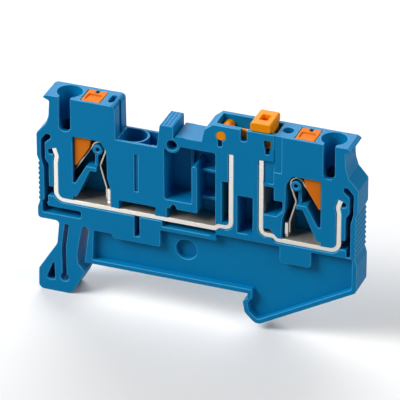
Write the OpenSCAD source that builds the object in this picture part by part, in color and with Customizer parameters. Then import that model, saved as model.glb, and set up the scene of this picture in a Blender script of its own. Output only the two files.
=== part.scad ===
// Knife disconnect terminal block with two push-in clamps.
// The origin lies on the mounting seat, midway between the two hooks and midway through the block.
// +X runs along the block, -Y faces the open side and +Z points up to the wire entries.

/* [Body] */
// Thickness of the block from the open side to the closed side
block_w = 6.2; // [5.8:0.1:7.2]
// Height of the top face above the mounting seat
block_h = 36.2; // [35.6:0.2:42]
// Thickness of the closed side wall
back_wall = 0.9; // [0.8:0.05:1.2]
// Thickness of the wall in front of the wire channels and the lever
front_wall = 1.1; // [0.9:0.05:1.3]
// Thickness of the wall in front of the release buttons
button_wall = 0.5; // [0.4:0.05:0.8]
// Offset of the body's middle from the middle of the mounting seat
mid_x = 6.8; // [5.8:0.1:7.8]
// Distance from a release button to the outer face of its end wall
end_reach = 11.2; // [10.9:0.1:13]
// Depth of the grip grooves in the end walls
grip_groove = 0.3; // [0.1:0.05:0.5]

/* [Mounting foot] */
// Width that is gripped between the two hooks
grip_w = 35; // [34:0.1:36]
// Thickness of the lip that the hooks reach under
lip_t = 1; // [0.8:0.05:1.3]
// Reach of each hook under the lip
hook_reach = 0.9; // [0.6:0.05:1.3]
// Depth of the feet below the seat
foot_drop = 7.8; // [7.4:0.1:10]
// Width of the rim round the lower panel
rim_w = 1; // [0.7:0.05:1.3]
// Depth of the lower panel below its rim
panel_depth = 1.4; // [0.8:0.1:2]

/* [Clamps] */
// Distance from the body's middle to each release button
clamp_offset = 22; // [21.4:0.1:24]
// Distance from a release button to its wire entry
wire_offset = 5.2; // [5.1:0.05:5.5]
// Radius of a wire entry
wire_r = 2.55; // [2.2:0.05:2.6]
// Depth of the round part of a wire entry
wire_depth = 4.8; // [4:0.1:6]
// Width of the slit in front of a wire entry
slit_w = 2.4; // [1.8:0.1:2.8]
// Length of a release button along the block
button_l = 4; // [3.4:0.1:4.2]
// Travel of a release button
button_travel = 1.5; // [1:0.1:1.8]
// Clearance round a release button
button_gap = 0.1; // [0.06:0.01:0.15]
// Radius of the round test socket
test_r = 1.15; // [1:0.05:1.2]
// Depth of the round test socket
test_depth = 8.5; // [6:0.5:12]

/* [Clamp springs] */
// Thickness of the spring strip
spring_t = 0.35; // [0.25:0.05:0.45]
// Radius of the boss that carries a spring
boss_r = 1.05; // [0.9:0.05:1.1]
// Clearance between a boss and its spring
boss_gap = 0.1; // [0.05:0.05:0.15]
// Length of the leg that clamps the wire
leg_l = 12.2; // [11:0.1:12.4]

/* [Current bars] */
// Thickness of the bars
bar_t = 1; // [0.8:0.05:1.2]
// Depth of the middle of the bars below the top face
bar_drop = 23; // [22.6:0.1:24]
// Inner radius of the bends
bend_r = 1.2; // [0.8:0.1:1.6]
// Setback of the bars from the open side
bar_setback = 0.25; // [0.1:0.05:0.5]
// Rise of the bars next to the knife contacts
joggle = 0.7; // [0.4:0.1:1]

/* [Disconnect lever] */
// Distance from the body's middle to the lever's pivot
pivot_offset = 5.2; // [5:0.05:5.4]
// Depth of the pivot below the top face
pivot_drop = 2.2; // [2.1:0.05:2.4]
// Radius of the pivot pin
pin_r = 1; // [0.8:0.05:1.1]
// Running clearance of the pivot pin
pin_gap = 0.05; // [0.02:0.01:0.08]
// Clearance on either side of the lever in its slot
lever_gap = 0.15; // [0.1:0.01:0.2]
// Distance from the pivot to the middle of the lever's head
head_offset = 7.95; // [7.8:0.05:8.1]
// Length of the head along the block
head_l = 4.1; // [3.8:0.1:4.3]
// Height of the head above the top face
head_rise = 1.9; // [1.4:0.1:2.4]
// Setback of the head from either side of the block
head_setback = 0.2; // [0.1:0.05:0.4]

/* [Knife] */
// Thickness of the knife blade
blade_t = 0.8; // [0.6:0.05:1]
// Reach of the blade from the pivot
blade_reach = 10.5; // [10.2:0.05:10.6]
// Depth of the blade's lower edge below the pivot
blade_drop = 7.3; // [7:0.1:7.4]
// Clearance between the blade and each contact fork
fork_gap = 0.05; // [0.03:0.01:0.1]
// Distance from the pivot to the contact fork of the left bar
left_fork = 2.05; // [1.95:0.05:2.3]
// Distance from the pivot to the contact fork of the right bar
right_fork = 8.2; // [8:0.05:8.4]

/* [Hidden] */
$fn = 48;

housing_blue = [0.03, 0.42, 0.66];
tin_white = [0.84, 0.82, 0.78];
spring_steel = [0.72, 0.72, 0.70];
button_orange = [0.95, 0.47, 0.10];
lever_orange = [1.0, 0.58, 0.08];

// Cuts run this far past the faces that they open
past = 1;
// Pieces of one solid run this far into each other
weld = 0.02;
// Room between a piece and the pocket that holds it
seat_gap = 0.04;
// Largest turn of one step on a rounded outline
arc_step = 15;

// Depths are counted from the open side, so the pockets end at this floor
floor_d = block_w - back_wall;
mid_d = block_w / 2;
left_x = mid_x - clamp_offset;
right_x = mid_x + clamp_offset;
pivot_x = mid_x + pivot_offset;
pivot_z = block_h - pivot_drop;

// Clamp sizes, counted outwards from the button and down from the top face
throat_r = 1.55;
bar_face = wire_offset + throat_r + 0.05;
bar_out = bar_face + bar_t / 2;
bar_top = -bar_drop + bar_t / 2;
bar_bottom = -bar_drop - bar_t / 2;
chamber_out = wire_offset - throat_r;
chamber_in = button_l / 2 + 0.2;
chamber_top = bar_top + 14.3;
boss_in = 1.55;
boss_z = bar_top + 12.1;
// The boss stands on a leg beside the spring's waist
boss_leg = [0.25, 0.9];
leg_setback = 1.2;
waist = boss_in + spring_t / 2;
waist_drop = 3.85;
// The bar's tab holds the foot of the spring
tab_in = 3.25;
tab_t = 0.7;
tab_h = 3.4;
tab_setback = 0.65;
foot_in = tab_in - seat_gap - spring_t / 2;
spring_mid_r = boss_r + boss_gap + spring_t / 2;
spring_out_r = boss_r + boss_gap + spring_t;
// The clamping leg leans so that its end stays this far from the bar
leg_gap = 0.6;
leg_taper = 0.8;
leg_angle = atan2(spring_out_r, leg_l)
            + acos((bar_face - leg_gap + boss_in) / norm([spring_out_r, leg_l]));
contact_top = -5.9;

// The lever's hub and the root of its arm turn inside a round hollow
hub_r = pin_r + 0.15;
arm_root = 1.3;
hollow_r = max(hub_r, arm_root) + lever_gap;
slot_end = max(blade_reach, head_offset + head_l / 2) + 0.5;
slot_start = -hub_r - lever_gap;
lever_front = front_wall + lever_gap;
lever_back = floor_d - lever_gap;
fork_floor = -blade_drop - 0.25;

// Points of a rounded corner b between a and c, where b holds its radius as a third value
function corner(a, b, c) =
    let (p = [a.x, a.y], q = [b.x, b.y], s = [c.x, c.y],
         u = (p - q) / norm(p - q), v = (s - q) / norm(s - q),
         half = acos(max(-1, min(1, u * v))) / 2,
         room = min(norm(p - q), norm(s - q)) * 0.49,
         reach = min(b[2] / tan(half), room), r = reach * tan(half),
         centre = q + (u + v) / norm(u + v) * r / sin(half),
         from = q + u * reach - centre, to = q + v * reach - centre,
         start = atan2(from.y, from.x), raw = atan2(to.y, to.x) - start,
         turn = raw > 180 ? raw - 360 : raw < -180 ? raw + 360 : raw,
         steps = max(1, ceil(abs(turn) / arc_step)))
    [for (i = [0:steps]) centre + r * [cos(start + turn * i / steps), sin(start + turn * i / steps)]];

// Closed outline with its corners rounded
function rounded(p) =
    let (n = len(p))
    [for (i = [0:n - 1])
        each p[i][2] > 0 ? corner(p[(i + n - 1) % n], p[i], p[(i + 1) % n]) : [[p[i].x, p[i].y]]];

// Open path with its bends rounded
function bent(p) =
    let (n = len(p))
    [for (i = [0:n - 1])
        each i > 0 && i < n - 1 && p[i][2] > 0 ? corner(p[i - 1], p[i], p[i + 1]) : [[p[i].x, p[i].y]]];

function unit(v) = v / norm(v);
function left_of(v) = [-v.y, v.x];

// Step to the side of a path at point i, long enough to keep the strip's thickness in a bend
function side_step(p, i, half) =
    let (n = len(p), before = unit(p[max(i, 1)] - p[max(i, 1) - 1]),
         after = unit(p[min(i, n - 2) + 1] - p[min(i, n - 2)]), middle = unit(before + after))
    left_of(middle) * half / (middle * after);

// Outline of a strip of even thickness along a path
function strip(p, thickness) =
    concat([for (i = [0:len(p) - 1]) p[i] + side_step(p, i, thickness / 2)],
           [for (i = [len(p) - 1:-1:0]) p[i] - side_step(p, i, thickness / 2)]);

// Places of clamp sizes on the left (side -1) and right (side 1)
function clamp_x(side, out) = mid_x + side * (clamp_offset + out);
function on_clamp(side, p) = [for (q = p) [clamp_x(side, q.x), block_h + q.y, q[2]]];
function from_mid(p) = [for (q = p) [mid_x + q.x, block_h + q.y, q[2]]];
function from_pivot(p) = [for (q = p) [pivot_x + q.x, pivot_z + q.y, q[2]]];
function reversed(p) = [for (i = [len(p) - 1:-1:0]) p[i]];
function box_points(x0, x1, z0, z1, r = 0) = [[x0, z0, r], [x1, z0, r], [x1, z1, r], [x0, z1, r]];

// Flat shape in X and Z, made solid between two depths from the open side
module slab(d0, d1) {
    translate([0, d1 - mid_d, 0]) rotate([90, 0, 0]) linear_extrude(d1 - d0) children();
}

module plate(points, d0, d1) {
    slab(d0, d1) polygon(rounded(points));
}

module pocket(points, depth = floor_d) {
    plate(points, -past, depth);
}

// Upright round hole or pin, by its place along the block and its depth
module upright(x, d, r, z0, z1) {
    translate([x, d - mid_d, z0]) cylinder(r = r, h = z1 - z0);
}

// Upright hollow with rounded corners, by its middle, its length and its width
module well(middle, l, w, z0, r) {
    translate([middle.x, middle.y - mid_d, z0])
        linear_extrude(block_h)
            polygon(rounded(box_points(-l / 2, l / 2, -w / 2, w / 2, r)));
}

// Outline of an end wall, from its lip on the top face down to its lower corner
function end_wall() =
    let (grip_top = -15, pitch = 1.1, teeth = 8, crest = end_reach - 0.2, face = crest - grip_groove)
    concat([[8.9, 0, 0.3], [9.9, -0.6, 0.2], [8.4, -1.2, 0.4], [8.6, -4.6, 2], [9.2, -6.5, 0.6],
            [end_reach, -8.8, 0.9], [end_reach, grip_top + 1.2, 1]],
           [for (i = [0:teeth - 1]) each [[face, grip_top - i * pitch, 0],
                                          [crest, grip_top - (i + 0.5) * pitch, 0]]],
           [[face, grip_top - teeth * pitch, 0], [end_reach, grip_top - teeth * pitch - 1.6, 0.6]]);

// The sprung foot and the fixed hook, beside the lip that they grip
grip_x = grip_w / 2;
lip_play = 0.1;
sole_z = -foot_drop;
neck_z = block_h - 28.2;
ledge_z = block_h - 27.8;
hook_z = -lip_t - lip_play;

function sprung_foot() =
    [[clamp_x(-1, end_reach), ledge_z, 0.7], [-grip_x - 4.4, ledge_z, 0.7], [-grip_x - 4.9, 3.2, 2],
     [-grip_x - 8.9, -3.2, 1.2], [-grip_x - 9, sole_z, 1.2], [-grip_x - 2.1, sole_z, 1.2],
     [-grip_x - 0.3, -4.8, 0.8], [-grip_x + hook_reach, hook_z - 1.1, 0.3],
     [-grip_x - 0.5, hook_z + 0.5, 0.3], [-grip_x - 0.7, 0.8, 1], [-grip_x - 0.2, 4.6, 3],
     [-grip_x + 0.5, neck_z + 0.1, 0.6], [-grip_x + 2, neck_z + 0.1, 0.6],
     [-grip_x + 0.9, 0, 0]];

function fixed_hook() =
    [[grip_x + lip_play, 0, 0], [grip_x + lip_play, hook_z, 0.2], [grip_x - hook_reach, hook_z - 0.9, 0.3],
     [grip_x - 0.5, -4.3, 1], [grip_x + 2, 1 - foot_drop, 1.6],
     [clamp_x(1, end_reach), 4.7, 1.2]];

// Stepped top between the right tower and the left one
ridge_x = -8;
groove_x = -4.6;
groove_w = 0.35;
ridge_top = -2.1;
panel_z = -4.1;
pit_z = -7.2;
tower_edge = 5.4;

function stepped_top() =
    concat(from_mid([[3.5, 0, 0.2], [1.8, -1.4, 0.4], [1.2, panel_z, 0.2],
                     [groove_x + groove_w, panel_z, 0.1], [groove_x + groove_w, panel_z - 1.2, 0],
                     [groove_x, panel_z - 1.2, 0], [groove_x, ridge_top, 0.2],
                     [ridge_x + 0.6, ridge_top, 0.4], [ridge_x, pit_z, 0.2]]),
           on_clamp(-1, [[-tower_edge, pit_z, 0.2], [-tower_edge + 0.1, 0, 1]]));

function body_outline() =
    concat(on_clamp(-1, end_wall()), sprung_foot(), fixed_hook(),
           reversed(on_clamp(1, end_wall())), stepped_top());

// Recessed lower panel, a rim's width inside the outline
function lower_panel() =
    concat([[-grip_x + rim_w + 1.6, rim_w, 0.3], [grip_x + lip_play + rim_w, rim_w, 0.3],
            [grip_x + lip_play + rim_w, hook_z + 0.2, 0.3], [grip_x - hook_reach + rim_w, hook_z - 1, 0.3],
            [grip_x + 0.5, -4, 0.5], [grip_x + 2.2, 1 - foot_drop + rim_w * 1.2, 0.9],
            [clamp_x(1, end_reach) - rim_w, 4.7 + rim_w * 0.6, 0.6]],
           on_clamp(1, [[end_reach - rim_w, -24.2, 0.4], [1.8, -24.2, 0.3], [1.8, -27.8, 0.8],
                        [-4.6, -27.8, 0.8], [-4.6, -24.2, 0.3]]),
           from_mid([[4.3, -24.2, 0.2], [4.3, -25.6, 0.2], [-7.4, -25.6, 0.3], [-7.4, -29.4, 0.4]]),
           [[left_x + 4.7, block_h - 29.4, 0.3], [left_x + 4.5, block_h - 28.5, 0.3],
            [-grip_x + rim_w + 1.9, block_h - 28.5, 0.3]]);

// Round dent in the lower panel, counted from the body's middle and the top face
dent = [-2.4, -29.7];
dent_r = 2.2;
dent_depth = 1.2;

module panel_dent() {
    slab(-past, panel_depth + dent_depth) translate([mid_x + dent.x, block_h + dent.y]) circle(dent_r);
}

// Round funnel, wire channel and slit of one wire entry
module wire_entry(side) {
    x = clamp_x(side, wire_offset);
    throat_z = -7.4;
    mouth_in = wire_offset - slit_w / 2;
    mouth_out = wire_offset + slit_w / 2;
    mouth_r = slit_w * 0.45;
    translate([x, 0, block_h])
        rotate_extrude()
            polygon([[0, throat_z], [throat_r, throat_z], [wire_r, -wire_depth], [wire_r, past], [0, past]]);
    plate(on_clamp(side, box_points(chamber_out - weld, bar_face + weld, bar_top, throat_z + 0.3)),
          front_wall, floor_d);
    pocket(on_clamp(side, [[mouth_in, throat_z, mouth_r], [mouth_out, throat_z, mouth_r],
                           [mouth_out, past, 0], [mouth_in, past, 0]]),
           mid_d);
}

// Upright shaft that guides a release button
module button_shaft(side) {
    half = button_l / 2 + button_gap;
    plate(on_clamp(side, box_points(-half, half, chamber_top - weld, past)), button_wall, floor_d);
}

// Open chamber that holds a spring and the foot of a release button
module spring_chamber(side) {
    pocket(on_clamp(side, [[-chamber_in, chamber_top, 0.6], [chamber_out, chamber_top, 0.2],
                           [chamber_out, bar_top, 0], [-tab_in - tab_t - 0.4, bar_top, 0],
                           [-tab_in - tab_t - 0.3, bar_top + 4.1, 0.6],
                           [-3.6, bar_top + 6.3, 1], [-3.5, boss_z, 1]]));
}

// Slanted rib, stop and boss that stand in a spring chamber
module chamber_ribs(side) {
    rib_setback = 0.3;
    rib_top = boss_z - 3.9;
    rib_t = 0.9;
    stop_top = bar_top + 4;
    stop_bottom = bar_top + 0.9;
    rib_in = -boss_in + boss_leg[0] - 0.05;
    rib = [[rib_in, rib_top, 0.2], [0.8, rib_top, 0.3], [3.1, stop_top, 0.5],
           [chamber_out + weld, stop_top, 0], [chamber_out + weld, stop_bottom, 0],
           [2.9, stop_bottom, 0.3], [0, rib_top - rib_t, 0.3], [rib_in, rib_top - rib_t, 0.2]];
    leg = box_points(-boss_in + boss_leg[0], -boss_in + boss_leg[1], rib_top - rib_t / 2, boss_z);
    plate(on_clamp(side, rib), 0, floor_d + weld);
    plate(on_clamp(side, leg), leg_setback, floor_d + weld);
    slab(rib_setback, floor_d + weld)
        translate([clamp_x(side, -boss_in), block_h + boss_z]) circle(boss_r);
}

module boss_bore(side) {
    slab(-past, 2) translate([clamp_x(side, -boss_in), block_h + boss_z]) circle(0.45);
}

// Narrow channel that lets the end wall flex, with a round pocket beside the bar's end
channel_out = end_reach - 0.9;
channel_w = 1;
channel_bow = 0.55;
channel_top = -8.7;
guide_t = 0.9;

module end_channel(side) {
    bar_side = bar_out + bar_t / 2;
    guide = bar_side + guide_t;
    outer = channel_out - channel_bow;
    bottom = bar_bottom - 0.4;
    hook_in = bar_side + 0.4;
    bump = channel_out - 0.85;
    pocket(on_clamp(side, [[outer - 0.8, bottom, 0.1], [outer, bottom, 0.2], [outer, bar_top + 6, 2],
                           [channel_out, bar_top + 8.4, 2], [channel_out, channel_top - 1.4, 0.6],
                           [hook_in + 1, channel_top, 0.4], [hook_in, channel_top, 0.3],
                           [hook_in, channel_top - 0.9, 0.3], [bump, channel_top - 2, 0.4],
                           [bump, bar_top + 8.2, 0.4], [guide, bar_top + 7.2, 0.4],
                           [guide, bar_top + 2.2, 0], [bar_out, bar_top + 2.2, 0], [bar_out, bar_top + 0.1, 0],
                           [outer - 0.8, bar_top + 0.1, 0.2]]));
    slab(-past, floor_d)
        translate([clamp_x(side, bar_out + 0.95), block_h + bar_top + 10]) circle(0.6);
}

// Pocket round a bar, from the bar's own path
module bar_pocket(path) {
    slab(-past, floor_d) polygon(strip(bent(path), bar_t + 2 * seat_gap));
}

// Round hole in a ring that stands at the corner of the middle hollow
ring = [-4.9, -6.2];
ring_r = 1.65;
ring_hole = 1.1;

module at_ring(d0, d1) {
    slab(d0, d1) translate([mid_x + ring.x, block_h + ring.y]) children();
}

// Pockets of the middle of the body, from the bridge shaft to the rib beside the left contact
module middle_pockets() {
    bar_z = bar_top + weld;
    pocket(from_mid(box_points(-16, -8.3, bar_z, -20.6, 0.2)));
    pocket(from_mid(box_points(-12.8, -11.7, -28, bar_bottom + weld)));
    pocket(from_mid(box_points(-7, 4.2, -24.7, bar_bottom + weld, 0.2)));
    pocket(from_mid(box_points(-12.7, -11.9, -17.9, -9.7)), 0.35);
    pocket(from_mid([[-6.5, -18.4, 0.6], [-0.8, -18.4, 0.2], [-0.8, -10, 0.8], [0.3, -10, 0.8],
                     [0.3, bar_z, 0], [4.1, bar_z, 0], [4.1, ring.y, 0.4], [ring.x, ring.y, 0],
                     [ring.x, ring.y - 1, 0], [-6.5, ring.y - 1, 0]]));
    pocket(from_mid([[-6, bar_z, 0], [0.5, bar_z, 0], [0.5, -20.3, 0], [-3.8, -20.3, 0.3],
                     [-4.6, -18.9, 0.4], [-5.4, -20.3, 0.3], [-6, -20.3, 0.2]]));
    pocket(from_mid(box_points(5.4, left_fork + pivot_offset - bar_t / 2 - seat_gap + weld,
                               -21.2, -12.1, 0.2)));
}

// Thin ribs that cross the middle hollow well behind the open side
module middle_ribs() {
    rib_setback = 2.2;
    for (z = [-11.9, -17.9])
        plate(from_mid(box_points(0.2, 4.2, z, z + 0.6)), rib_setback, floor_d + weld);
    plate(from_mid(box_points(-2.4, -1.8, -18.5, -6.1)), 4, floor_d + weld);
}

// Pockets between the contacts and to the right of them
module contact_pockets() {
    right_face = right_fork + pivot_offset + bar_t / 2 + seat_gap - weld;
    pocket(from_mid(box_points(8.6, 11.8, -22.9, -14.6, 0.2)));
    pocket(from_mid(box_points(right_face, 16, -10.7, -5.8, 0.2)), 0.5);
    pocket(from_mid([[right_face, -17.7, 0], [16.6, -17.7, 0.3], [17.9, -16.4, 0.3], [17.9, -14.2, 0.2],
                     [16.1, -14.2, 0.2], [16.1, -11.4, 0.2], [right_face, -11.4, 0]]));
    pocket(from_mid([[right_face, -22, 0], [16.4, -22, 0.2], [15.4, -20.8, 0.4], [right_face, -20.8, 0]]));
}

// Bridge shaft with a round end, and the smaller shaft behind its thin divider
module bridge_shafts() {
    shaft_r = mid_d - button_wall - 0.1;
    divider = 0.45;
    bottom = block_h - 20.7;
    round_x = mid_x - 13.7;
    small_end = ridge_x - 0.3;
    upright(round_x, mid_d, shaft_r, bottom, block_h);
    translate([round_x - 2.5, -shaft_r, bottom]) cube([2.5, 2 * shaft_r, 20.7]);
    difference() {
        translate([round_x, -shaft_r, bottom]) cube([mid_x + small_end - round_x, 2 * shaft_r, 20.7]);
        upright(round_x, mid_d, shaft_r + divider, bottom - past, block_h + past);
    }
}

// Socket beside each button: a narrow slot on the left and a round test socket on the right
module side_sockets() {
    slot_r = 0.6;
    slot_half = 0.95;
    slot_depth = 6;
    slot_x = clamp_x(-1, -3.75);
    for (d = [mid_d - slot_half, mid_d + slot_half])
        upright(slot_x, d, slot_r, block_h - slot_depth, block_h + past);
    translate([slot_x - slot_r, -slot_half, block_h - slot_depth])
        cube([2 * slot_r, 2 * slot_half, slot_depth + past]);
    upright(clamp_x(1, -4.1), mid_d, test_r, block_h - test_depth, block_h + past);
}

// Upright groove in the inner side of the left tower
module tower_groove() {
    groove_depth = 0.5;
    groove_half = 0.65;
    translate([clamp_x(-1, -tower_edge) - groove_depth, -groove_half, block_h + pit_z])
        cube([groove_depth + past, 2 * groove_half, past - pit_z]);
}

// Shallow step in the open side, beside the test socket
module front_step() {
    pocket(from_mid(box_points(16, 17.6, -8, past)), 0.15);
}

// Slot, hollow and bearing of the lever, with the openings in the wall in front of it
module lever_seat() {
    notch_x = 4;
    latch = [9.5, 0.1];
    slit_half = 0.45;
    plate(from_pivot(box_points(slot_start, slot_end, 0, pivot_drop + past)), front_wall, floor_d);
    plate(from_pivot(box_points(0.4, slot_end, fork_floor, weld, 0.3)), front_wall, floor_d);
    slab(front_wall, floor_d) translate([pivot_x, pivot_z]) circle(hollow_r);
    slab(-past, floor_d + back_wall / 2) translate([pivot_x, pivot_z]) circle(pin_r + pin_gap);
    pocket(from_pivot(box_points(-slit_half - 0.2, slit_half - 0.2, -2.4, 0, 0.3)), front_wall + weld);
    pocket(from_pivot(box_points(notch_x, notch_x + 1.3, -0.3, pivot_drop + past, 0.4)), front_wall + weld);
    pocket(from_pivot([[latch.x - 0.95, latch.y + 0.7, 0.5],
                       [latch.x + 0.95, latch.y + 0.7, 0.5],
                       [latch.x + slit_half, latch.y - 1.5, 0.3],
                       [latch.x + slit_half, latch.y - 2.4, 0.3],
                       [latch.x - slit_half, latch.y - 2.4, 0.3],
                       [latch.x - slit_half, latch.y - 1.5, 0.3]]),
           front_wall + weld);
}

// Slits and pocket that make the left foot springy, counted outwards from the grip
slit_out = 3.4;
slit_low = -4.2;
slit_bow = 2.6;
slit_width = 0.9;
toe_in = 5.4;
toe_out = 7.4;
toe_low = -5.3;
flex_in = 2;
flex_w = 1.6;
flex_gap = 2.9;

module foot_slits() {
    slit = [[-grip_x - slit_out + 0.6, neck_z - 0.1, 0], [-grip_x - slit_out - 0.1, slit_bow, 6],
            [-grip_x - slit_out, slit_low, 0]];
    flex_low = bar_bottom - flex_gap;
    slab(-past, block_w + past) polygon(strip(bent(slit), slit_width));
    slab(-past, block_w + past) translate([-grip_x - slit_out, slit_low - 0.1]) circle(slit_width);
    pocket([[-grip_x - toe_in - 0.2, -0.6, 0.2], [-grip_x - toe_out, toe_low + 0.1, 0.5],
            [-grip_x - toe_in, toe_low - 0.1, 0.5]]);
    pocket(on_clamp(-1, [[flex_in, flex_low, 0.4], [channel_out - 0.1, flex_low, 0.3],
                         [channel_out - 0.1, bar_bottom - 0.1, 0.3],
                         [channel_out - channel_w - 0.1, bar_bottom - 0.1, 0],
                         [channel_out - channel_w - 0.3, flex_low + flex_w, 0.3],
                         [flex_in, flex_low + flex_w, 0.4]]));
}

module housing() {
    color(housing_blue) difference() {
        union() {
            difference() {
                plate(body_outline(), 0, block_w);
                pocket(lower_panel(), panel_depth);
                for (side = [-1, 1]) {
                    wire_entry(side);
                    button_shaft(side);
                    spring_chamber(side);
                    end_channel(side);
                }
                middle_pockets();
                contact_pockets();
                bridge_shafts();
                side_sockets();
                tower_groove();
                front_step();
                lever_seat();
                foot_slits();
                panel_dent();
            }
            for (side = [-1, 1]) chamber_ribs(side);
            middle_ribs();
            at_ring(0, floor_d + weld) circle(ring_r);
        }
        bar_pocket(left_bar_path());
        bar_pocket(right_bar_path());
        at_ring(-past, floor_d) circle(ring_hole);
        for (side = [-1, 1]) boss_bore(side);
    }
}

// Middle lines of the bars, from the wire contact to the knife contact
function wire_contact(side) =
    on_clamp(side, [[bar_out + 0.3, bar_top + 10.9, 0], [bar_out - 0.25, bar_top + 9.1, 1],
                    [bar_out, bar_top + 7.8, 1], [bar_out, -bar_drop, bend_r + bar_t / 2]]);

function knife_contact(fork, step) =
    let (x = pivot_offset + fork)
    from_mid([[x + step * 3.3, -bar_drop, 0.6], [x + step * 2.6, -bar_drop + joggle, 0.6],
              [x, -bar_drop + joggle, bend_r + bar_t / 2], [x, contact_top, 0]]);

function left_bar_path() = concat(wire_contact(-1), knife_contact(left_fork, -1));
function right_bar_path() = concat(wire_contact(1), knife_contact(right_fork, 1));

// Bent bar with an upright tab for the spring and a forked upper end for the blade
module current_bar(path, side, fork) {
    tab = box_points(-tab_in - tab_t, -tab_in, bar_top - weld, bar_top + tab_h);
    slot_half = blade_t / 2 + fork_gap;
    color(tin_white) difference() {
        union() {
            slab(bar_setback, floor_d) polygon(strip(bent(path), bar_t));
            plate(on_clamp(side, tab), bar_setback + tab_setback, floor_d);
        }
        plate(from_pivot(box_points(fork - bar_t, fork + bar_t, fork_floor, 0)),
              mid_d - slot_half, mid_d + slot_half);
    }
}

module left_current_bar() {
    current_bar(left_bar_path(), -1, left_fork);
}

module right_current_bar() {
    current_bar(right_bar_path(), 1, right_fork);
}

// Middle line of a clamp spring: clamping leg, turn over the boss and supporting leg
function spring_path() =
    let (centre = [-boss_in, boss_z], r = spring_mid_r,
         leg = [cos(-leg_angle), sin(-leg_angle)], leg_start = centre + r * left_of(leg),
         over = [for (a = [90 - leg_angle + 12:12:190]) centre + r * [cos(a), sin(a)]])
    concat([leg_start + leg_l * leg, leg_start], over,
           bent([[-boss_in - spring_mid_r + 0.08, boss_z - 0.75, 0], [-waist, boss_z - waist_drop, 0.8],
                 [-foot_in, bar_top + tab_h + 0.2, 0.8], [-foot_in, bar_top + tab_h / 3, 0]]));

// Wedges that narrow the clamping leg towards its end
module leg_wedges(side) {
    near = front_wall + seat_gap - mid_d;
    far = floor_d - mid_d;
    for (edge = [[near, 1], [far, -1]])
        translate([0, 0, block_h + bar_top])
            linear_extrude(chamber_top - bar_top)
                polygon([[clamp_x(side, 0), edge[0] - edge[1] * past], [clamp_x(side, 0), edge[0]],
                         [clamp_x(side, 1.8), edge[0] + edge[1] * leg_taper],
                         [clamp_x(side, bar_face), edge[0] + edge[1] * leg_taper],
                         [clamp_x(side, bar_face), edge[0] - edge[1] * past]]);
}

module clamp_spring(side) {
    color(spring_steel) difference() {
        slab(front_wall + seat_gap, floor_d)
            polygon([for (q = strip(spring_path(), spring_t)) [clamp_x(side, q.x), block_h + q.y]]);
        leg_wedges(side);
    }
}

module left_clamp_spring() {
    clamp_spring(-1);
}

module right_clamp_spring() {
    clamp_spring(1);
}

// Release button: a guided block with a slanted foot that lies on the spring's clamping leg
function button_outline() =
    let (half = button_l / 2, out = chamber_out - 0.2, shoulder_z = chamber_top - 0.08,
         normal = [sin(leg_angle), cos(leg_angle)],
         on_leg = [-boss_in, boss_z] + (spring_out_r + 0.06) * normal,
         slope = tan(leg_angle), tip_z = on_leg.y - (out - on_leg.x) * slope)
    [[-half, 0, 0.25], [half, 0, 0.25], [half, shoulder_z, 0], [out, shoulder_z, 0.2], [out, tip_z, 0.25],
     [0.35, on_leg.y - (0.35 - on_leg.x) * slope, 0.3], [-0.1, shoulder_z - 0.1, 0.2],
     [-half, chamber_top + button_travel - 0.1, 0.2]];

module release_button(side) {
    notch_l = 0.8;
    notch_w = 1;
    notch_depth = 0.9;
    dish_rim = 0.55;
    dish_depth = 0.25;
    front = button_wall + button_gap;
    back = floor_d - button_gap;
    color(button_orange) difference() {
        plate(on_clamp(side, button_outline()), front, back);
        well([clamp_x(side, 0), (front + back - notch_w) / 2], button_l - 2 * dish_rim,
             back - front - notch_w - 2 * dish_rim, block_h - dish_depth, 0.4);
        plate(on_clamp(side, box_points(-notch_l / 2, notch_l / 2, -notch_depth, past)),
              back - notch_w, back + past);
    }
}

module left_release_button() {
    release_button(-1);
}

module right_release_button() {
    release_button(1);
}

// Outline of the blade below and inside the lever
blade_root = -0.7;
blade_start = 0.9;
blade_end = 9.2;

module blade_shape(grow = 0) {
    intersection() {
        translate([pivot_x, pivot_z]) circle(blade_reach + grow, $fn = 96);
        polygon(rounded(from_pivot([[blade_start - grow, blade_root + grow, 0],
                                    [blade_start - grow, -blade_drop, 1.5],
                                    [blade_reach, -blade_drop, 0], [blade_reach, -3.2, 0],
                                    [blade_end + grow, -2, 0.4],
                                    [blade_end + grow, blade_root + grow, 0]])));
    }
}

module knife_blade() {
    color(tin_white) slab(mid_d - blade_t / 2, mid_d + blade_t / 2) blade_shape();
}

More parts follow.
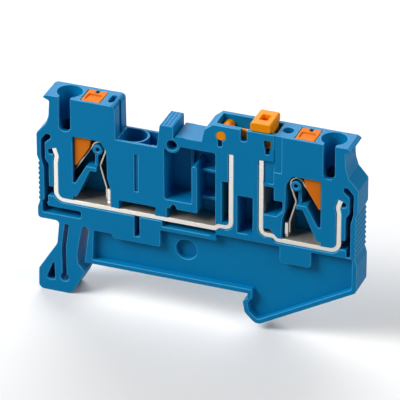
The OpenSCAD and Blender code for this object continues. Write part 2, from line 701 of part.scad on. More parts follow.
// Lever with its hub, pivot pin, low arm, front flank and wide head
module disconnect_lever() {
    head_start = head_offset - head_l / 2;
    head_end = head_offset + head_l / 2;
    under = -1.6;
    arm_top = -0.4;
    flank_t = 0.6;
    flank_top = 1.6;
    head_bottom = pivot_drop + 0.1;
    head_top = pivot_drop + head_rise;
    recess_l = 1.8;
    recess_w = 2.4;
    recess_depth = 1.2;
    web_rim = 0.5;
    web_depth = 0.3;
    pin_back = floor_d + back_wall / 2 - 0.1;
    color(lever_orange) difference() {
        union() {
            slab(lever_front, lever_back) {
                translate([pivot_x, pivot_z]) circle(hub_r);
                polygon(rounded(from_pivot([[0, -arm_root, 0], [2, under, 0.5], [head_end, under, 0.8],
                                            [head_end, head_bottom + weld, 0],
                                            [head_start, head_bottom + weld, 0],
                                            [head_start, arm_top, 0.6], [0, arm_top, 0]])));
            }
            plate(from_pivot([[2.6, arm_top - 0.2, 0], [head_start + weld, arm_top - 0.2, 0],
                              [head_start + weld, flank_top, 0], [3.5, flank_top, 0.4]]),
                  lever_front, lever_front + flank_t);
            plate(from_pivot(box_points(head_start, head_end, head_bottom, head_top, 0.45)),
                  head_setback, block_w - head_setback);
            slab(0.1, pin_back) translate([pivot_x, pivot_z]) circle(pin_r);
        }
        well([pivot_x + head_offset, mid_d], recess_l, recess_w, pivot_z + head_top - recess_depth, 0.3);
        plate(from_pivot([[3.3, under + web_rim, 0.3], [head_end - web_rim, under + web_rim, 0.5],
                          [head_end - web_rim, flank_top, 0.3], [head_start + web_rim, flank_top, 0.2],
                          [head_start + web_rim, flank_top - web_rim, 0.2],
                          [3.9, flank_top - web_rim, 0.3]]),
              lever_front - weld, lever_front + web_depth);
        slab(mid_d - blade_t / 2 - seat_gap / 2, mid_d + blade_t / 2 + seat_gap / 2)
            blade_shape(seat_gap / 2);
    }
}

housing();
left_current_bar();
right_current_bar();
left_clamp_spring();
right_clamp_spring();
left_release_button();
right_release_button();
disconnect_lever();
knife_blade();
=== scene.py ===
"""Looks of a knife disconnect terminal block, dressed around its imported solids.

Everything is in metres in the block's own frame: +X runs along the block, -Y faces its open side
and +Z points up to the wire entries.
"""

from __future__ import annotations

import logging
import math
from dataclasses import dataclass
from enum import Enum
from functools import cached_property
from typing import Any

import bmesh
import bpy
import numpy as np
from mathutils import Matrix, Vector

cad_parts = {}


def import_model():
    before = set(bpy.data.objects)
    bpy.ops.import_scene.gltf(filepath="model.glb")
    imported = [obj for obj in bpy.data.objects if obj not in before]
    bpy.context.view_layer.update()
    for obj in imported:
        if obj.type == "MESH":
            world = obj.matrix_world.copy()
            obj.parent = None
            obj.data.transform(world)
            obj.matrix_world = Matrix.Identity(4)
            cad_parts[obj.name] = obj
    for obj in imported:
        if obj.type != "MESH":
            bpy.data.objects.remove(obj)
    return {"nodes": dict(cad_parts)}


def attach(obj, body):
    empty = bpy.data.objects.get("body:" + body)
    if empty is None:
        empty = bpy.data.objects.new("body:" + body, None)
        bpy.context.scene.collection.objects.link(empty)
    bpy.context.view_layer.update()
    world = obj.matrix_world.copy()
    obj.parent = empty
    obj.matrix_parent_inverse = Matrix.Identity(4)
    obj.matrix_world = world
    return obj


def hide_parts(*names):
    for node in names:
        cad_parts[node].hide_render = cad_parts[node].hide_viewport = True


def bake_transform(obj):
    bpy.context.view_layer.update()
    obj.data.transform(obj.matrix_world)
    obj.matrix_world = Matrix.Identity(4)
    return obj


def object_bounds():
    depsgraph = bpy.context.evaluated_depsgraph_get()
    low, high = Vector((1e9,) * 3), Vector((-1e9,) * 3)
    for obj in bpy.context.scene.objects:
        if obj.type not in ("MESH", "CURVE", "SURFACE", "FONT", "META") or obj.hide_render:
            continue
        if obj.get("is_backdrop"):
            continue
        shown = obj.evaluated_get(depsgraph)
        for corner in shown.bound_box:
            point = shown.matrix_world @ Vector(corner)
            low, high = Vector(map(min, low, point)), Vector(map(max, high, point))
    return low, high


LOG = logging.getLogger("terminal_block")
MM = 0.001
EDGE_LAYER = "edge"
ROLLED_LAYER = "rolled"
LEAST_SQUARE = 1e-18

Colour = tuple[float, float, float]
Point = tuple[float, float, float]


class Body(Enum):
    """Bodies that the pieces ride on."""

    BASE = "base"
    LEVER = "lever"
    LEFT_BUTTON = "left_button"
    RIGHT_BUTTON = "right_button"


class Slot(Enum):
    """Material slots of the record."""

    HOUSING = "blue_housing"
    BAR = "tinned_bar"
    SPRING = "spring_steel"
    BUTTON = "orange_button"
    LEVER = "orange_lever"
    KNIFE = "tinned_knife"


class Side(Enum):
    """Ends of the block, with the direction of each along X."""

    LEFT = -1
    RIGHT = 1

    @property
    def word(self) -> str:
        """Name of the end in lower case."""
        return self.name.lower()


class NodeSheet:
    """A node tree with short ways to add and join its nodes."""

    def __init__(self, tree: bpy.types.NodeTree) -> None:
        """Takes an empty tree, or one whose nodes are kept."""
        self.tree = tree

    def add(self, kind: str, inputs: dict[Any, Any] | None = None, **settings: Any) -> bpy.types.Node:
        """Adds one node.

        Args:
            kind: Blender's name of the node type.
            inputs: values or sockets for the node's inputs, by name or number.
            settings: properties of the node itself.

        Returns:
            The new node.
        """
        node = self.tree.nodes.new(kind)
        for name, value in settings.items():
            setattr(node, name, value)
        for name, value in (inputs or {}).items():
            self.feed(node.inputs[name], value)
        return node

    def feed(self, socket: bpy.types.NodeSocket, value: Any) -> None:
        """Joins a socket to another one, or sets its value.

        Args:
            socket: the input to feed.
            value: an output to join it to, or the value to set.
        """
        if isinstance(value, bpy.types.NodeSocket):
            self.tree.links.new(value, socket)
        else:
            socket.default_value = value

    def math(self, operation: str, first: Any, second: Any, clamp: bool = False) -> bpy.types.NodeSocket:
        """Adds a Math node and returns its result."""
        node = self.add("ShaderNodeMath", {0: first, 1: second}, operation=operation, use_clamp=clamp)
        return node.outputs[0]

    def spread(self, value: Any, width: float, least: float) -> bpy.types.NodeSocket:
        """Spreads a value of 0 to 1 over a range and returns the result."""
        node = self.add("ShaderNodeMath", {0: value, 1: width, 2: least}, operation="MULTIPLY_ADD")
        return node.outputs[0]

    def mix(self, share: Any, first: Any, second: Any) -> bpy.types.NodeSocket:
        """Mixes two colours.

        Args:
            share: share of the second colour.
            first: colour, or socket of one, at a share of 0.
            second: colour, or socket of one, at a share of 1.

        Returns:
            The mixed colour.
        """
        node = self.add("ShaderNodeMix", data_type="RGBA")
        sockets = [s for s in node.inputs if s.enabled]
        for socket, value in zip(sockets, (share, first, second)):
            self.feed(socket, value)
        return next(s for s in node.outputs if s.enabled)


def rgba(colour: Colour) -> tuple[float, float, float, float]:
    """Opaque colour for a node's socket."""
    return (*colour, 1.0)


def new_material(name: str) -> tuple[bpy.types.Material, NodeSheet, bpy.types.Node]:
    """Starts a material with one Principled shader.

    Args:
        name: name of the material.

    Returns:
        The material, its sheet and its shader.
    """
    material = bpy.data.materials.new(name)
    material.use_nodes = True
    return material, NodeSheet(material.node_tree), material.node_tree.nodes["Principled BSDF"]


class GroupMaker:
    """Builds each shared shader effect once, as a node group."""

    PATCHES_PER_METRE = 700.0
    PATCH_WIDTH = 0.8
    PATCH_LEAST = 0.4
    STREAK_SQUEEZE = (0.04, 1.0, 0.04)

    @staticmethod
    def _start(name: str, sockets: list[tuple[str, str, str]]) -> NodeSheet:
        """Opens a group with its named sockets.

        Args:
            name: name of the group.
            sockets: name, direction and kind of each socket.

        Returns:
            The sheet of the new group.
        """
        tree = bpy.data.node_groups.new(name, "ShaderNodeTree")
        for label, way, kind in sockets:
            tree.interface.new_socket(label, in_out=way, socket_type=kind)
        return NodeSheet(tree)

    @cached_property
    def moulded_grain(self) -> bpy.types.NodeTree:
        """Fine spark-eroded grain and slow flow marks of a moulded plastic."""
        sheet = self._start("moulded_grain", [
            ("Grain Size", "INPUT", "NodeSocketFloat"),
            ("Flow Size", "INPUT", "NodeSocketFloat"),
            ("Grain", "OUTPUT", "NodeSocketFloat"),
            ("Flow", "OUTPUT", "NodeSocketFloat"),
        ])
        given = sheet.add("NodeGroupInput")
        where = sheet.add("ShaderNodeTexCoord").outputs["Object"]
        fine = sheet.add("ShaderNodeTexNoise", {
            "Vector": where, "Scale": sheet.math("DIVIDE", 1.0, given.outputs["Grain Size"]),
            "Detail": 3.0, "Roughness": 0.6})
        slow = sheet.add("ShaderNodeTexNoise", {
            "Vector": where, "Scale": sheet.math("DIVIDE", 1.0, given.outputs["Flow Size"]),
            "Detail": 2.0, "Roughness": 0.5, "Distortion": 0.6})
        sheet.add("NodeGroupOutput", {"Grain": fine.outputs["Fac"], "Flow": slow.outputs["Fac"]})
        return sheet.tree

    @cached_property
    def painted_edge_highlights(self) -> bpy.types.NodeTree:
        """Painted highlight: a lighter colour along the rounded edges, standing in for the light they catch,
        a little uneven.
        """
        sheet = self._start("painted_edge_highlights", [
            ("Colour", "INPUT", "NodeSocketColor"),
            ("Edge Highlight Colour", "INPUT", "NodeSocketColor"),
            ("Amount", "INPUT", "NodeSocketFloat"),
            ("Colour", "OUTPUT", "NodeSocketColor"),
        ])
        given = sheet.add("NodeGroupInput")
        where = sheet.add("ShaderNodeTexCoord").outputs["Object"]
        edge = sheet.add("ShaderNodeAttribute", attribute_name=EDGE_LAYER).outputs["Fac"]
        patchy = sheet.add("ShaderNodeTexNoise", {
            "Vector": where, "Scale": self.PATCHES_PER_METRE, "Detail": 2.0})
        uneven = sheet.spread(patchy.outputs["Fac"], self.PATCH_WIDTH, self.PATCH_LEAST)
        share = sheet.math("MULTIPLY", sheet.math("MULTIPLY", edge, uneven), given.outputs["Amount"], True)
        # Mixes the painted edge highlight into the colour.
        mixed = sheet.mix(share, given.outputs["Colour"], given.outputs["Edge Highlight Colour"])
        sheet.add("NodeGroupOutput", {"Colour": mixed})
        return sheet.tree

    @cached_property
    def rolled_streaks(self) -> bpy.types.NodeTree:
        """Long rolling streaks and a soft mottle of plated or bare strip."""
        sheet = self._start("rolled_streaks", [
            ("Streak Width", "INPUT", "NodeSocketFloat"),
            ("Mottle Size", "INPUT", "NodeSocketFloat"),
            ("Streaks", "OUTPUT", "NodeSocketFloat"),
            ("Mottle", "OUTPUT", "NodeSocketFloat"),
        ])
        given = sheet.add("NodeGroupInput")
        where = sheet.add("ShaderNodeTexCoord").outputs["Object"]
        stretched = sheet.add("ShaderNodeMapping", {"Vector": where, "Scale": self.STREAK_SQUEEZE})
        streaks = sheet.add("ShaderNodeTexNoise", {
            "Vector": stretched.outputs[0],
            "Scale": sheet.math("DIVIDE", 1.0, given.outputs["Streak Width"]), "Detail": 4.0})
        mottle = sheet.add("ShaderNodeTexNoise", {
            "Vector": where, "Scale": sheet.math("DIVIDE", 1.0, given.outputs["Mottle Size"]),
            "Detail": 3.0, "Roughness": 0.6})
        sheet.add("NodeGroupOutput", {"Streaks": streaks.outputs["Fac"], "Mottle": mottle.outputs["Fac"]})
        return sheet.tree


@dataclass(frozen=True)
class PlasticFinish:
    """Moulded plastic with a fine grain, flow marks and a painted highlight along its rounded edges."""

    name: str
    colour: Colour
    flow_colour: Colour
    # The edge colour and its amount paint a highlight on the rounded edges.
    edge_highlight_colour: Colour
    edge_highlight_amount: float
    roughness: float
    specular: float
    grain_size: float
    grain_depth: float
    flow_size: float
    roughness_width: float = 0.16
    bump_strength: float = 0.5

    def build(self, groups: GroupMaker) -> bpy.types.Material:
        """Makes the material.

        Args:
            groups: maker of the shared shader effects.

        Returns:
            The finished material.
        """
        material, sheet, shader = new_material(self.name)
        grain = sheet.add("ShaderNodeGroup", node_tree=groups.moulded_grain)
        sheet.feed(grain.inputs["Grain Size"], self.grain_size)
        sheet.feed(grain.inputs["Flow Size"], self.flow_size)
        flowing = sheet.mix(grain.outputs["Flow"], rgba(self.colour), rgba(self.flow_colour))
        # Paints the highlight on the rounded edges.
        edges = sheet.add("ShaderNodeGroup", node_tree=groups.painted_edge_highlights)
        for label, value in (("Colour", flowing), ("Edge Highlight Colour", rgba(self.edge_highlight_colour)),
                             ("Amount", self.edge_highlight_amount)):
            sheet.feed(edges.inputs[label], value)
        sheet.feed(shader.inputs["Base Color"], edges.outputs["Colour"])
        least = self.roughness - self.roughness_width / 2
        rough = sheet.spread(grain.outputs["Grain"], self.roughness_width, least)
        sheet.feed(shader.inputs["Roughness"], rough)
        shader.inputs["Specular IOR Level"].default_value = self.specular
        bump = sheet.add("ShaderNodeBump", {
            "Height": grain.outputs["Grain"], "Strength": self.bump_strength, "Distance": self.grain_depth})
        sheet.feed(shader.inputs["Normal"], bump.outputs["Normal"])
        return material


@dataclass(frozen=True)
class MetalFinish:
    """Rolled strip, bare or plated."""

    name: str
    colour: Colour
    rolled_colour: Colour
    dull_colour: Colour
    matt: float
    roughness: float
    streak_width: float
    streak_depth: float
    mottle_size: float
    roughness_width: float = 0.2
    bump_strength: float = 0.4

    def build(self, groups: GroupMaker) -> bpy.types.Material:
        """Makes the material.

        Args:
            groups: maker of the shared shader effects.

        Returns:
            The finished material.
        """
        material, sheet, shader = new_material(self.name)
        rolled = sheet.add("ShaderNodeGroup", node_tree=groups.rolled_streaks)
        sheet.feed(rolled.inputs["Streak Width"], self.streak_width)
        sheet.feed(rolled.inputs["Mottle Size"], self.mottle_size)
        flat = sheet.add("ShaderNodeAttribute", attribute_name=ROLLED_LAYER).outputs["Fac"]
        tarnish = sheet.mix(rolled.outputs["Mottle"], rgba(self.rolled_colour), rgba(self.dull_colour))
        sheet.feed(shader.inputs["Base Color"], sheet.mix(flat, rgba(self.colour), tarnish))
        matt = sheet.math("MULTIPLY", flat, self.matt)
        sheet.feed(shader.inputs["Metallic"], sheet.math("SUBTRACT", 1.0, matt))
        least = self.roughness - self.roughness_width / 2
        rough = sheet.spread(rolled.outputs["Streaks"], self.roughness_width, least)
        sheet.feed(shader.inputs["Roughness"], rough)
        bump = sheet.add("ShaderNodeBump", {
            "Height": rolled.outputs["Streaks"], "Strength": self.bump_strength,
            "Distance": self.streak_depth})
        sheet.feed(shader.inputs["Normal"], bump.outputs["Normal"])
        return material


# The edge colours of the plastics are painted highlights along their rounded edges.
HOUSING_BLUE = PlasticFinish(
    name="housing_blue", colour=(0.0, 0.185, 0.415), flow_colour=(0.0, 0.206, 0.455),
    edge_highlight_colour=(0.08, 0.40, 0.68), edge_highlight_amount=0.9, roughness=0.50, specular=0.10,
    grain_size=0.12 * MM, grain_depth=0.004 * MM, flow_size=9 * MM)
BUTTON_ORANGE = PlasticFinish(
    name="button_orange", colour=(0.69, 0.165, 0.010), flow_colour=(0.75, 0.190, 0.014),
    edge_highlight_colour=(0.85, 0.31, 0.03), edge_highlight_amount=0.5, roughness=0.54, specular=0.03,
    grain_size=0.15 * MM, grain_depth=0.003 * MM, flow_size=3 * MM)
LEVER_ORANGE = PlasticFinish(
    name="lever_orange", colour=(0.86, 0.255, 0.0), flow_colour=(0.90, 0.295, 0.004),
    edge_highlight_colour=(0.95, 0.42, 0.02), edge_highlight_amount=0.55, roughness=0.40, specular=0.045,
    grain_size=0.2 * MM, grain_depth=0.002 * MM, flow_size=4 * MM)
TINNED_BAR = MetalFinish(
    name="tinned_bar", colour=(0.86, 0.83, 0.77), rolled_colour=(0.60, 0.52, 0.43),
    dull_colour=(0.38, 0.31, 0.24), matt=0.55, roughness=0.36,
    streak_width=0.10 * MM, streak_depth=0.002 * MM, mottle_size=0.9 * MM)
TINNED_BLADE = MetalFinish(
    name="tinned_blade", colour=(0.86, 0.84, 0.79), rolled_colour=(0.82, 0.79, 0.73),
    dull_colour=(0.68, 0.64, 0.57), matt=0.2, roughness=0.30,
    streak_width=0.08 * MM, streak_depth=0.002 * MM, mottle_size=0.7 * MM)
# Grey-brown of spring steel; its darkness is partly painted shade for the clamp leg's edge, which lies in
# shadow in its chamber.
SPRING_STEEL = MetalFinish(
    name="spring_steel", colour=(0.50, 0.46, 0.40), rolled_colour=(0.46, 0.42, 0.36),
    dull_colour=(0.34, 0.30, 0.25), matt=0.15, roughness=0.28,
    streak_width=0.06 * MM, streak_depth=0.001 * MM, mottle_size=0.6 * MM)


def plain_mesh(piece: bpy.types.Object) -> None:
    """Turns a piece's modifiers into its own mesh and removes them.

    Args:
        piece: the piece, which keeps its name.
    """
    bpy.context.view_layer.update()
    seen = piece.evaluated_get(bpy.context.evaluated_depsgraph_get())
    mesh = bpy.data.meshes.new_from_object(seen)
    piece.modifiers.clear()
    piece.data = mesh


def node_piece(name: str, tree: bpy.types.NodeTree, values: dict[str, Any]) -> bpy.types.Object:
    """Makes a plain mesh from a geometry node tree.

    Args:
        name: name of the piece.
        tree: the tree, whose inputs are set by the sockets' identifiers.
        values: value of each named input.

    Returns:
        The piece, with its place in its mesh.
    """
    piece = bpy.data.objects.new(name, bpy.data.meshes.new(name))
    bpy.context.scene.collection.objects.link(piece)
    modifier = piece.modifiers.new(name, "NODES")
    modifier.node_group = tree
    for item in tree.interface.items_tree:
        if item.in_out == "INPUT" and item.name in values:
            modifier[item.identifier] = values[item.name]
    plain_mesh(piece)
    return piece


def face_crossings(face: bmesh.types.BMFace) -> list[Vector]:
    """Finds where the outline of a face runs over itself.

    Args:
        face: a flat or nearly flat face with its normal up to date.

    Returns:
        The ends of each pair of sides that cross.
    """
    if len(face.verts) < 4:
        return []
    drop = max(range(3), key=lambda axis: abs(face.normal[axis]))
    ring = [vert.co for vert in face.verts]
    start = np.array([[co[axis] for axis in range(3) if axis != drop] for co in ring])
    along = np.roll(start, -1, axis=0) - start
    to_start = start[None, :, :] - start[:, None, :]
    side = along[:, None, 0] * to_start[:, :, 1] - along[:, None, 1] * to_start[:, :, 0]
    apart = side * np.roll(side, -1, axis=1) < 0.0
    count = len(ring)
    found: list[Vector] = []
    for one, two in np.argwhere(apart & apart.T):
        if one < two:
            corners = (one, (one + 1) % count, two, (two + 1) % count)
            found += [ring[corner].copy() for corner in corners]
    return found


@dataclass(frozen=True)
class EdgeRounder:
    """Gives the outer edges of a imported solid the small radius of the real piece; angles are in degrees."""

    radius: float
    steps: int = 2
    weld: float = 0.0005 * MM
    flat_angle: float = 1.0
    sharp_angle: float = 32.0
    crease_angle: float = 25.0
    rim_step: float = 1.2 * MM
    spare_reach: float = 2.5
    rolled_tilt: float = 0.5
    tries: int = 8

    def _rounded(self, source: bpy.types.Mesh,
                 spared: list[Vector]) -> tuple[bmesh.types.BMesh, list[Vector]]:
        """Rounds the outer edges, apart from those next to a spared place.

        Args:
            source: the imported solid's mesh.
            spared: places that have no room for the radius.

        Returns:
            The rounded mesh, and the places where its faces still cross.
        """
        work = bmesh.new()
        work.from_mesh(source)
        bmesh.ops.remove_doubles(work, verts=work.verts, dist=self.weld)
        bmesh.ops.dissolve_limit(work, angle_limit=math.radians(self.flat_angle), verts=work.verts,
                                 edges=work.edges)
        layer = work.faces.layers.float.new(EDGE_LAYER)
        rolled = work.faces.layers.float.new(ROLLED_LAYER)
        for rim in self._rims(work):
            cuts = int(rim.calc_length() / self.rim_step)
            if cuts:
                bmesh.ops.bisect_edges(work, edges=[rim], cuts=cuts)
        reach = self.spare_reach * self.radius
        rims = [rim for rim in self._rims(work)
                if not any(self._gap(rim, place) < reach for place in spared)]
        made = bmesh.ops.bevel(work, geom=rims, offset=self.radius, offset_type="OFFSET",
                               segments=self.steps, profile=0.5, affect="EDGES", loop_slide=True)
        # Marks the rounded faces, where the plastic finishes paint a highlight.
        for face in made["faces"]:
            face[layer] = 1.0
        work.normal_update()
        for face in work.faces:
            face.smooth = True
            face[rolled] = float(abs(face.normal.y) < self.rolled_tilt)
        for edge in work.edges:
            if edge.is_manifold and not any(face[layer] for face in edge.link_faces):
                edge.smooth = edge.calc_face_angle(0.0) < math.radians(self.crease_angle)
        return work, [place for face in work.faces for place in face_crossings(face)]

    def _rims(self, work: bmesh.types.BMesh) -> list[bmesh.types.BMEdge]:
        """Lists the outward edges that are sharp enough to be rounded."""
        sharp = math.radians(self.sharp_angle)
        return [edge for edge in work.edges
                if edge.is_manifold and edge.calc_face_angle_signed(0.0) > sharp]

    @staticmethod
    def _gap(edge: bmesh.types.BMEdge, place: Vector) -> float:
        """Measures how far an edge is from a place.

        Args:
            edge: the edge, between its two ends.
            place: the place.

        Returns:
            The distance to the edge's nearest point.
        """
        start, end = (vert.co for vert in edge.verts)
        along = end - start
        share = (place - start).dot(along) / max(along.length_squared, LEAST_SQUARE)
        return (start + along * min(max(share, 0.0), 1.0) - place).length

    def copy(self, source: bpy.types.Mesh, name: str) -> bpy.types.Object:
        """Copies a solid with its outer edges rounded.

        Args:
            source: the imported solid's mesh, which stays as it is.
            name: name of the new piece.

        Returns:
            The new piece, with even normals.
        """
        spared: list[Vector] = []
        work, crossed = self._rounded(source, spared)
        for _ in range(self.tries - 1):
            if not crossed:
                break
            work.free()
            spared += crossed
            work, crossed = self._rounded(source, spared)
        LOG.info("%s: %d places spared, %d left crossing", name, len(spared), len(crossed))
        mesh = bpy.data.meshes.new(name)
        work.to_mesh(mesh)
        work.free()
        piece = bpy.data.objects.new(name, mesh)
        bpy.context.scene.collection.objects.link(piece)
        weighted = piece.modifiers.new("even_normals", "WEIGHTED_NORMAL")
        weighted.keep_sharp = True
        plain_mesh(piece)
        return piece


@dataclass(frozen=True)
class Dress:
    """What a piece rides on and what it is finished in."""

    body: Body
    slot: Slot
    finish: PlasticFinish | MetalFinish


@dataclass(frozen=True)
class Bend:
    """Stretch of a springy strip between the body it sits on and the body that presses it."""

    body: Body
    start: Point
    end: Point
    cuts: int = 12
    snap: float = 1e-4 * MM

    def cut(self, mesh: bpy.types.Mesh) -> None:
        """Cuts the stretch into short lengths, fine enough to bend in a curve.

        Args:
            mesh: the strip's mesh.
        """
        work = bmesh.new()
        work.from_mesh(mesh)
        start = Vector(self.start)
        along = Vector(self.end) - start
        for step in range(self.cuts + 1):
            bmesh.ops.bisect_plane(work, geom=[*work.verts, *work.edges, *work.faces], dist=self.snap,
                                   plane_co=start + along * (step / self.cuts), plane_no=along.normalized())
        work.to_mesh(mesh)
        work.free()


class Workshop:
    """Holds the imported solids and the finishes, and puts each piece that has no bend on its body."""

    def __init__(self, nodes: dict[str, bpy.types.Object]) -> None:
        """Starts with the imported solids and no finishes.

        Args:
            nodes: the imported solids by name.
        """
        self.nodes = nodes
        self.groups = GroupMaker()
        self.materials: dict[str, bpy.types.Material] = {}

    def material(self, finish: PlasticFinish | MetalFinish) -> bpy.types.Material:
        """Builds a finish the first time that it is asked for.

        Args:
            finish: the finish.

        Returns:
            Its material.
        """
        if finish.name not in self.materials:
            self.materials[finish.name] = finish.build(self.groups)
        return self.materials[finish.name]

    def settle(self, piece: bpy.types.Object, dress: Dress, bend: Bend | None = None) -> None:
        """Puts a finished piece on its body, or for a piece with a bend bakes its place into its mesh, and
        reports it.

        Args:
            piece: the piece, with its place in its mesh.
            dress: its body and finish.
            bend: the stretch that reaches towards another body, if the piece has one; such a piece is not put
                on its body.
        """
        if bend is None:
            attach(piece, dress.body.value)
        else:
            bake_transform(piece)
        LOG.info("%s: %d faces on %s", piece.name, len(piece.data.polygons), dress.body.value)

    def rounded(self, node: str, radius: float, dress: Dress, bend: Bend | None = None) -> bpy.types.Object:
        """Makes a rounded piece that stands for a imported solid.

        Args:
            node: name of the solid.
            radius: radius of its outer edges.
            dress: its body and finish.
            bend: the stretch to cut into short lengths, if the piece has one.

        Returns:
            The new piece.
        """
        piece = EdgeRounder(radius).copy(self.nodes[node].data, f"rounded_{node}")
        if bend is not None:
            bend.cut(piece.data)
        piece.data.materials.append(self.material(dress.finish))
        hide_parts(node)
        self.settle(piece, dress, bend)
        return piece


@dataclass(frozen=True)
class Housing:
    """Moulded housing, with the fine raised grain that gives a marker strip its hold on the ridge."""

    edge_radius: float = 0.12 * MM
    ridge_place: Point = (0.80 * MM, 0.0, 34.1 * MM)
    ridge_length: float = 2.1 * MM
    ridge_width: float = 5.5 * MM
    pitch: float = 0.60 * MM
    pip_radius: float = 0.22 * MM
    pip_height: float = 0.13 * MM
    pip_taper: float = 0.45
    pip_sides: int = 6
    sunk: float = 0.01 * MM
    uneven: float = 0.25
    seed: int = 7
    dress: Dress = Dress(Body.BASE, Slot.HOUSING, HOUSING_BLUE)

    def build(self, shop: Workshop) -> None:
        """Makes the housing's pieces."""
        shop.rounded("housing", self.edge_radius, self.dress)
        self.ridge_grain(shop)

    def ridge_grain(self, shop: Workshop) -> bpy.types.Object:
        """Makes the grain on the ridge.

        Args:
            shop: keeper of the finishes.

        Returns:
            The grain, riding with the housing.
        """
        x, y, z = self.ridge_place
        values = {"Place": (x, y, z - self.sunk), "Length": self.ridge_length, "Width": self.ridge_width,
                  "Rows": int(self.ridge_width / self.pitch) + 1,
                  "Columns": int(self.ridge_length / self.pitch) + 1,
                  "Pip Radius": self.pip_radius, "Pip Height": self.pip_height + self.sunk,
                  "Smallest": 1.0 - self.uneven, "Seed": self.seed}
        piece = node_piece("ridge_grain", self._grain_tree(shop.material(self.dress.finish)), values)
        shop.settle(piece, self.dress)
        return piece

    def _grain_tree(self, material: bpy.types.Material) -> bpy.types.NodeTree:
        """Builds the node tree that spreads the pips.

        Args:
            material: finish of the pips.

        Returns:
            The tree, with named inputs for its sizes.
        """
        tree = bpy.data.node_groups.new("ridge_grain", "GeometryNodeTree")
        for label, kind in (("Place", "NodeSocketVector"), ("Length", "NodeSocketFloat"),
                            ("Width", "NodeSocketFloat"), ("Rows", "NodeSocketInt"),
                            ("Columns", "NodeSocketInt"), ("Pip Radius", "NodeSocketFloat"),
                            ("Pip Height", "NodeSocketFloat"), ("Smallest", "NodeSocketFloat"),
                            ("Seed", "NodeSocketInt")):
            tree.interface.new_socket(label, in_out="INPUT", socket_type=kind)
        tree.interface.new_socket("Grain", in_out="OUTPUT", socket_type="NodeSocketGeometry")
        sheet = NodeSheet(tree)
        given = sheet.add("NodeGroupInput").outputs
        grid = sheet.add("GeometryNodeMeshGrid", {
            "Size X": given["Length"], "Size Y": given["Width"],
            "Vertices X": given["Columns"], "Vertices Y": given["Rows"]})
        pip = sheet.add("GeometryNodeMeshCone", {
            "Vertices": self.pip_sides, "Radius Bottom": given["Pip Radius"],
            "Radius Top": sheet.math("MULTIPLY", given["Pip Radius"], self.pip_taper),
            "Depth": given["Pip Height"]})
        size = sheet.add("FunctionNodeRandomValue", data_type="FLOAT")
        smallest, largest = [s for s in size.inputs if s.enabled][:2]
        sheet.feed(smallest, given["Smallest"])
        sheet.feed(largest, 1.0)
        sheet.feed(size.inputs["Seed"], given["Seed"])
        spread = sheet.add("GeometryNodeInstanceOnPoints", {
            "Points": grid.outputs["Mesh"], "Instance": pip.outputs["Mesh"],
            "Scale": next(s for s in size.outputs if s.enabled)})
        moved = sheet.add("GeometryNodeTransform", {
            "Geometry": spread.outputs["Instances"], "Translation": given["Place"]})
        real = sheet.add("GeometryNodeRealizeInstances", {"Geometry": moved.outputs["Geometry"]})
        dressed = sheet.add("GeometryNodeSetMaterial", {"Geometry": real.outputs["Geometry"],
                                                        "Material": material})
        sheet.add("NodeGroupOutput", {"Grain": dressed.outputs["Geometry"]})
        return tree


@dataclass(frozen=True)
class Clamp:
    """Current bar, clamp spring and release button at one end of the block.

    The spring's leg bends from its root to where the button holds it, both measured outwards from
    the button's middle.
    """

    side: Side
    button_x: float
    bar_radius: float = 0.12 * MM
    spring_radius: float = 0.06 * MM
    button_radius: float = 0.12 * MM
    leg_root: float = -0.62 * MM
    leg_held: float = 0.35 * MM
    leg_z: float = 25.8 * MM

    def build(self, shop: Workshop) -> None:
        """Makes the pieces of the clamp.

        Args:
            shop: keeper of the solids and the finishes.
        """
        word = self.side.word
        button_body = Body.LEFT_BUTTON if self.side is Side.LEFT else Body.RIGHT_BUTTON
        shop.rounded(f"{word}_current_bar", self.bar_radius, Dress(Body.BASE, Slot.BAR, TINNED_BAR))
        start, end = ((self.button_x + self.side.value * out, 0.0, self.leg_z)
                      for out in (self.leg_root, self.leg_held))
        shop.rounded(f"{word}_clamp_spring", self.spring_radius,
                     Dress(Body.BASE, Slot.SPRING, SPRING_STEEL), Bend(button_body, start, end))
        shop.rounded(f"{word}_release_button", self.button_radius,
                     Dress(button_body, Slot.BUTTON, BUTTON_ORANGE))


@dataclass(frozen=True)
class Disconnect:
    """Lever that swings the knife blade out of its two contacts."""

    lever_radius: float = 0.12 * MM
    blade_radius: float = 0.18 * MM

    def build(self, shop: Workshop) -> None:
        """Makes the lever and its blade."""
        shop.rounded("disconnect_lever", self.lever_radius, Dress(Body.LEVER, Slot.LEVER, LEVER_ORANGE))
        shop.rounded("knife_blade", self.blade_radius, Dress(Body.LEVER, Slot.KNIFE, TINNED_BLADE))


@dataclass(frozen=True)
class Lamp:
    """One soft rectangular lamp that looks at the block."""

    name: str
    place: Point
    size: tuple[float, float]
    watts: float
    aim: Point = (0.007, 0.0, 0.015)

    def build(self) -> bpy.types.Object:
        """Hangs the lamp.

        Returns:
            The lamp, turned to its aim.
        """
        data = bpy.data.lights.new(self.name, "AREA")
        data.shape = "RECTANGLE"
        data.size, data.size_y = self.size
        data.energy = self.watts
        lamp = bpy.data.objects.new(self.name, data)
        lamp.location = self.place
        lamp.rotation_euler = (Vector(self.aim) - Vector(self.place)).to_track_quat("-Z", "Y").to_euler()
        bpy.context.scene.collection.objects.link(lamp)
        return lamp


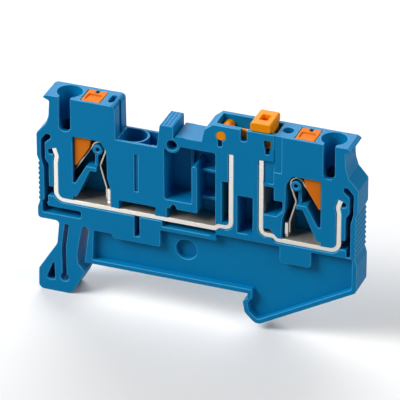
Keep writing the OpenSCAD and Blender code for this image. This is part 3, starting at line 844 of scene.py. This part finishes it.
@dataclass(frozen=True)
class Studio:
    """Pale floor and soft light."""

    floor_z: float
    floor_half: float = 1.5
    floor_colour: Colour = (0.79, 0.79, 0.79)
    bounce_colour: Colour = (0.36, 0.36, 0.36)
    floor_roughness: float = 0.9
    floor_specular: float = 0.1
    world_colour: Colour = (1.0, 1.0, 1.0)
    world_strength: float = 0.07
    lamps: tuple[Lamp, ...] = (
        Lamp("key_lamp", (-0.55, -0.42, 0.62), (0.5, 0.5), 9.0),
        Lamp("back_lamp", (-0.22, 0.70, 0.42), (0.9, 0.5), 8.5),
        Lamp("right_lamp", (0.75, -0.15, 0.45), (0.5, 0.5), 2.9),
    )

    def _floor_material(self) -> bpy.types.Material:
        """Makes the floor white to the camera and in shiny surfaces, and darker in the light it throws.

        Returns:
            The finished material.
        """
        material, sheet, shader = new_material("pale_floor")
        shader.inputs["Base Color"].default_value = rgba(self.bounce_colour)
        shader.inputs["Roughness"].default_value = self.floor_roughness
        shader.inputs["Specular IOR Level"].default_value = self.floor_specular
        path = sheet.add("ShaderNodeLightPath").outputs
        seen = sheet.math("ADD", path["Is Camera Ray"], path["Is Glossy Ray"], True)
        seen = sheet.math("ADD", seen, path["Is Transmission Ray"], True)
        white = sheet.add("ShaderNodeBsdfDiffuse", {"Color": rgba(self.floor_colour)})
        mixed = sheet.add("ShaderNodeMixShader", {0: seen, 1: shader.outputs[0], 2: white.outputs[0]})
        sheet.feed(material.node_tree.nodes["Material Output"].inputs["Surface"], mixed.outputs[0])
        return material

    def build(self) -> None:
        """Makes the floor, the world and the lamps."""
        half = self.floor_half
        mesh = bpy.data.meshes.new("floor")
        mesh.from_pydata([(-half, -half, self.floor_z), (half, -half, self.floor_z),
                          (half, half, self.floor_z), (-half, half, self.floor_z)], [], [(0, 1, 2, 3)])
        mesh.materials.append(self._floor_material())
        floor = bpy.data.objects.new("floor", mesh)
        bpy.context.scene.collection.objects.link(floor)
        floor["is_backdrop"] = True
        world = bpy.data.worlds.new("studio")
        world.use_nodes = True
        back = world.node_tree.nodes["Background"]
        back.inputs["Color"].default_value = rgba(self.world_colour)
        back.inputs["Strength"].default_value = self.world_strength
        bpy.context.scene.world = world
        for lamp in self.lamps:
            lamp.build()


@dataclass(frozen=True)
class PhotoCamera:
    """Camera at the photograph's viewing angle and distance, aimed at the block.

    Angles are in degrees, and the lens and its sensor in millimetres.
    """

    azimuth: float = 20.5
    elevation: float = 28.1
    distance: float = 0.848
    pivot: Point = (0.0076, -0.0031, 0.0469)
    aim: Point = (0.0066, 0.0, 0.0172)
    lens: float = 400.0
    sensor: float = 36.0
    near: float = 0.05
    far: float = 10.0

    def build(self) -> bpy.types.Object:
        """Places the camera and makes it the scene's own.

        Returns:
            The camera.
        """
        turn, lift = math.radians(self.azimuth), math.radians(self.elevation)
        back = Vector((math.sin(turn) * math.cos(lift), -math.cos(turn) * math.cos(lift), math.sin(lift)))
        data = bpy.data.cameras.new("photo_camera")
        data.lens = self.lens
        data.sensor_width = self.sensor
        data.clip_start, data.clip_end = self.near, self.far
        camera = bpy.data.objects.new("photo_camera", data)
        camera.location = Vector(self.pivot) + back * self.distance
        camera.rotation_euler = (Vector(self.aim) - camera.location).to_track_quat("-Z", "Y").to_euler()
        bpy.context.scene.collection.objects.link(camera)
        bpy.context.scene.camera = camera
        return camera


def main() -> None:
    """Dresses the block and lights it."""
    logging.basicConfig(level=logging.INFO, format="%(name)s %(message)s")
    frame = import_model()
    low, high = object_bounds()
    bpy.context.scene.view_settings.view_transform = "Standard"
    shop = Workshop(frame["nodes"])
    left_clamp = Clamp(Side.LEFT, button_x=-15.2 * MM)
    right_clamp = Clamp(Side.RIGHT, button_x=28.8 * MM)
    for part in (Housing(), left_clamp, right_clamp, Disconnect()):
        part.build(shop)
    Studio(floor_z=low.z).build()
    PhotoCamera().build()


if __name__ == "__main__":
    main()
